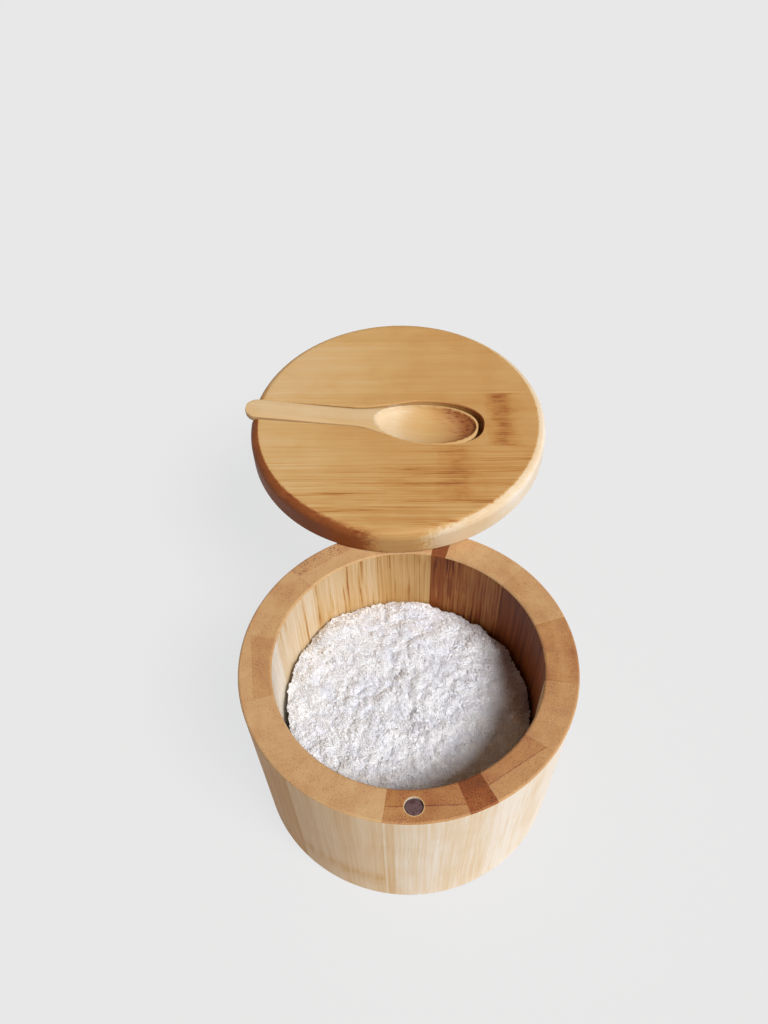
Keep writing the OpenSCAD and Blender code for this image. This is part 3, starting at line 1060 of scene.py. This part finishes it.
# %% Form of the heap
SALT_LEVEL, SALT_DIP, SALT_CROWN, SALT_FIT = 44 * MM, 0.9 * MM, 2.5 * MM, 0.3 * MM
SALT_R = INNER_R - SALT_FIT
CLUMP, CLUMP_RISE = 4.6 * MM, 2.1 * MM
SWELLS = ((9.0 * MM, 1.8 * MM, 3.1), (1.7 * MM, 0.6 * MM, 5.3))
BROAD_SWELL, BROAD_RISE = 14 * MM, 0.9 * MM
PEAKS = ((3 * MM, 33 * MM, 9 * MM, 2.4 * MM), (-24 * MM, 24 * MM, 13 * MM, 2.2 * MM))
LEAN_TO, LEAN_DROP, LEAN_RUN = math.radians(122), 3.6 * MM, (2 * MM, 42 * MM)
SHOULDER = 1.5 * MM
GAP_LEFT_TO, GAP_LEFT = math.radians(278), 0.9 * MM
SKIRT = ((0.9 * MM, 3 * MM), (1.6 * MM, 9 * MM))


def hills(x, y, size, seed):
    return noise.noise(Vector((x / size, y / size, seed)))


def clumps(x, y):
    """Height of round clumps that meet in creases, on swells, and of the low peaks at the back."""
    height = CLUMP_RISE * abs(hills(x, y, CLUMP, 8.7))
    height += sum(rise * hills(x, y, size, seed) for size, rise, seed in SWELLS)
    return height + sum(rise * math.exp(-2 * ((x - px) ** 2 + (y - py) ** 2) / r ** 2)
                        for px, py, r, rise in PEAKS)


def gap_at(angle):
    """How far the heap draws back from the wall, by the angle from the front round by the right."""
    def ragged(often, seed):
        return abs(noise.noise(Vector((often * math.sin(angle), often * math.cos(angle), seed))))

    left = GAP_LEFT * max(0, math.cos(angle - GAP_LEFT_TO)) ** 6
    return left + (0.2 + ragged(7, 1.3) + 1.1 * ragged(34, 4.3)) * MM


def salt_height(x, y, reach):
    """Height of the heap at a point that lies at a share, reach, of the way to its edge."""
    swell = BROAD_RISE * hills(x, y, BROAD_SWELL, 0.7)
    shoulder = SHOULDER * smooth(0.86, 1.0, reach) ** 1.5
    lean = LEAN_DROP * smooth(*LEAN_RUN, x * math.sin(LEAN_TO) - y * math.cos(LEAN_TO))
    return SALT_LEVEL - SALT_DIP + SALT_CROWN * (1 - reach * reach) + swell + clumps(x, y) - shoulder - lean


def heap_mesh(rings=110, spokes=380):
    shape = bmesh.new()
    centre = shape.verts.new((0, 0, salt_height(0, 0, 0)))
    rows = []
    for i in range(1, rings + 1):
        reach = 1 - (1 - i / rings) ** 1.15
        row = []
        for k in range(spokes):
            angle = math.tau * k / spokes
            r = (SALT_R - gap_at(angle)) * reach
            x, y = r * math.sin(angle), -r * math.cos(angle)
            row.append(shape.verts.new((x, y, salt_height(x, y, reach))))
        rows.append(row)
    edge = rows[-1]
    for fold, drop in SKIRT:
        rows.append([shape.verts.new((v.co.x * (1 - fold / SALT_R), v.co.y * (1 - fold / SALT_R),
                                      v.co.z - drop)) for v in edge])
    rows.append([shape.verts.new((v.co.x, v.co.y, BOTTOM_T + SALT_FIT)) for v in rows[-1]])
    for k in range(spokes):
        after = (k + 1) % spokes
        shape.faces.new((centre, rows[0][k], rows[0][after]))
        for inner, outer in zip(rows, rows[1:]):
            shape.faces.new((inner[k], outer[k], outer[after], inner[after]))
    shape.faces.new(list(reversed(rows[-1])))
    return as_mesh("salt heap", shape)


heap_form = heap_mesh()
print("salt up to", round(max(v.co.z for v in heap_form.vertices) / MM, 1), "mm")

# %% [markdown]
# Salt is white with soft patches of a cool grey, and each crystal is a little clear. Much of the
# light passes under the surface, which keeps the shadows soft.

# %% Material: salt
SALT_WHITE, SALT_GREY = (0.93, 0.935, 0.96), (0.83, 0.84, 0.905)
CLEARNESS, CLEAR_DEPTH = 0.6, 1.4 * MM


def make_salt_material(name, rough, bump_depth):
    material, tree, shader = new_material(name)
    vector = own_space(tree)
    patches, fine = noise_at(vector, 150.0, 4.0), noise_at(vector, 1500.0, 3.0)
    plug(shader, {"Base Color": blend(step(patches, 0.35, 0.7), SALT_WHITE, SALT_GREY),
                  "Roughness": step(fine, 0.3, 0.7, rough - 0.15, rough + 0.15),
                  "Normal": relief(fine, bump_depth, 0.5), "Specular IOR Level": 0.3,
                  "Subsurface Weight": CLEARNESS, "Subsurface Radius": (1, 1, 1),
                  "Subsurface Scale": CLEAR_DEPTH})
    return material


salt_body = make_salt_material("salt", 0.65, 0.25 * MM)
salt_crystal = make_salt_material("salt_crystals", 0.45, 0.05 * MM)
print("made", salt_body.name, "and", salt_crystal.name)

# %% [markdown]
# The strewing tree scatters points over the faces that look up, gives each a crystal of the same
# small solid with its own turn and size, and leaves out those too near the wall. Real salt settles
# with its crystals touching, which a least distance between the points comes close to. A crystal is
# centred on the heap's surface, so it is half sunk in.

# %% Geometry nodes: strewn crystals
LOOKS_UP, UNEVEN = 0.25, 0.2


def make_strewing_tree():
    tree, given, result = new_tree(
        "strewn crystals",
        {"Heap": "Geometry", "Crystal Size": 0.6 * MM, "Least Distance": 0.7 * MM, "Density": 1e6,
         "Smallest": 0.5, "Largest": 1.3, "Keep In": 39 * MM, "Seed": 1, "Material": "Material"},
        {"Crystals": "Geometry"}, "GeometryNodeTree")
    size = given["Crystal Size"]

    def is_more(value, limit):
        return wire(tree, "FunctionNodeCompare", {0: value, 1: limit}, operation="GREATER_THAN")

    up = split(wire(tree, "GeometryNodeInputNormal"))[2]
    points = wire(tree, "GeometryNodeDistributePointsOnFaces", {
        "Mesh": given["Heap"], "Selection": is_more(up, LOOKS_UP), "Distance Min": given["Least Distance"],
        "Density Max": given["Density"], "Seed": given["Seed"]}, distribute_method="POISSON")
    block = wire(tree, "GeometryNodeMeshIcoSphere", {"Radius": size, "Subdivisions": 1})
    uneven = wire(tree, "FunctionNodeRandomValue", {0: (-UNEVEN,) * 3, 1: (UNEVEN,) * 3, "Seed": 4},
                  data_type="FLOAT_VECTOR")
    offset = wire(tree, "ShaderNodeVectorMath", {0: uneven, "Scale": size}, operation="SCALE")
    crystal = wire(tree, "GeometryNodeSetPosition", {"Geometry": block, "Offset": offset})
    turns = wire(tree, "FunctionNodeRandomValue", {0: (0, 0, 0), 1: (math.tau,) * 3, "Seed": given["Seed"]},
                 data_type="FLOAT_VECTOR")
    growth = wire(tree, "FunctionNodeRandomValue", {2: given["Smallest"], 3: given["Largest"], "Seed": 9}, 1,
                  data_type="FLOAT")
    strewn = wire(tree, "GeometryNodeInstanceOnPoints", {
        "Points": points, "Instance": crystal, "Scale": growth,
        "Rotation": wire(tree, "FunctionNodeEulerToRotation", {0: turns})})
    far = vectors("LENGTH", vectors("MULTIPLY", wire(tree, "GeometryNodeInputPosition"), (1, 1, 0)))
    kept = wire(tree, "GeometryNodeDeleteGeometry",
                {"Geometry": strewn, "Selection": is_more(far, given["Keep In"])}, domain="INSTANCE")
    end_tree(result, kept, given["Material"])
    return tree


strewing_tree = make_strewing_tree()
print("strewing tree inputs:", [i.name for i in strewing_tree.interface.items_tree if i.in_out == "INPUT"])

# %% Pieces: salt
DENSITY, SMALLEST, LARGEST = 4e6, 0.4, 1.5
for name, size, apart, keep_in, seed in (
        ("salt_coarse", 0.5, 1.7, 38.7, 11), ("salt_middling", 0.3, 0.58, 39.2, 23),
        ("salt_fine", 0.24, 0.56, 39.2, 31)):
    strewn = worked(name, heap_form.copy())
    grow(strewn, strewing_tree, {
        "Crystal Size": size * MM, "Least Distance": apart * MM, "Density": DENSITY, "Seed": seed,
        "Smallest": SMALLEST, "Largest": LARGEST, "Keep In": keep_in * MM, "Material": salt_crystal})
    grains = piece(name, strewn, "box", "salt_fill", sharp=50)
    print(name, "has", len(grains.data.polygons), "faces")
heap = piece("salt_heap", worked("heap", heap_form), "box", "salt_fill", salt_body, 60)
print(heap.name, "has", len(heap.data.polygons), "faces")

# %% [markdown]
# ## Stage and light
#
# The object stands on a wide pale floor. The camera sees floor and surroundings in the picture's
# light grey, and the floor keeps part of its shading, so the object's shadow stays. The light is a
# window's: one soft key from the front right, a good halfway up, and a weak fill from all round,
# warm as if it came off the wood.

# %% Floor
BACKDROP_GREY, FLOOR_GREY, FLOOR_PAINT = (0.807,) * 3, (0.825, 0.833, 0.84), (0.72, 0.66, 0.61)
SHADOW_SHARE, FLOOR_HALF = 0.12, 4


def seen_rays(tree):
    """1 for rays that show the surroundings: from the camera, off gloss or through glass."""
    rays = put(tree, "ShaderNodeLightPath").outputs
    shiny = calc("MAXIMUM", Wire(rays["Is Glossy Ray"]), Wire(rays["Is Transmission Ray"]))
    return calc("MAXIMUM", Wire(rays["Is Camera Ray"]), shiny)


def mixed_shader(share, a, b):
    return wire(share.tree, "ShaderNodeMixShader", {0: share, 1: a, 2: b})


floor_mesh = bpy.data.meshes.new("floor")
floor_mesh.from_pydata([(x * FLOOR_HALF, y * FLOOR_HALF, 0) for x, y in ((-1, -1), (1, -1), (1, 1), (-1, 1))],
                       [], [(0, 1, 2, 3)])
floor = worked("floor", floor_mesh)
floor_material, floor_tree, floor_shader = new_material("floor")
plug(floor_shader, {"Base Color": (*FLOOR_PAINT, 1), "Roughness": 0.9, "Specular IOR Level": 0.0})
plain = wire(floor_tree, "ShaderNodeEmission", {"Color": (*FLOOR_GREY, 1), "Strength": 1.0})
seen = mixed_shader(seen_rays(floor_tree) * (1 - SHADOW_SHARE), Wire(floor_shader.outputs[0]), plain)
plug(floor_tree.nodes["Material Output"], {"Surface": seen})
floor_mesh.materials.append(floor_material)
print("floor is", 2 * FLOOR_HALF, "m wide")

# %% Light
KEY_AZIMUTH, KEY_HEIGHT = math.radians(47), math.radians(52.5)
KEY_STRENGTH, KEY_SPREAD, KEY_COLOUR = 3.45, 26, (0.985, 0.99, 1.0)
FILL_COLOUR, FILL_STRENGTH = (1.0, 0.63, 0.48), 0.10

key_data = bpy.data.lights.new("key", "SUN")
key_data.energy, key_data.angle, key_data.color = KEY_STRENGTH, math.radians(KEY_SPREAD), KEY_COLOUR
key = bpy.data.objects.new("key", key_data)
to_key = Vector((math.sin(KEY_AZIMUTH) * math.cos(KEY_HEIGHT), -math.cos(KEY_AZIMUTH) * math.cos(KEY_HEIGHT),
                 math.sin(KEY_HEIGHT)))
key.rotation_euler = to_key.to_track_quat("Z", "Y").to_euler()
scene.collection.objects.link(key)

world = bpy.data.worlds.new("studio")
scene.world = world
world.use_nodes = True
sky = world.node_tree
sky.nodes.clear()
fill = wire(sky, "ShaderNodeBackground", {"Color": (*FILL_COLOUR, 1), "Strength": FILL_STRENGTH})
backdrop = wire(sky, "ShaderNodeBackground", {"Color": (*BACKDROP_GREY, 1), "Strength": 1.0})
put(sky, "ShaderNodeOutputWorld", {"Surface": mixed_shader(seen_rays(sky), fill, backdrop)})
scene.view_settings.view_transform = "Standard"
print("key from", [round(c, 2) for c in to_key])
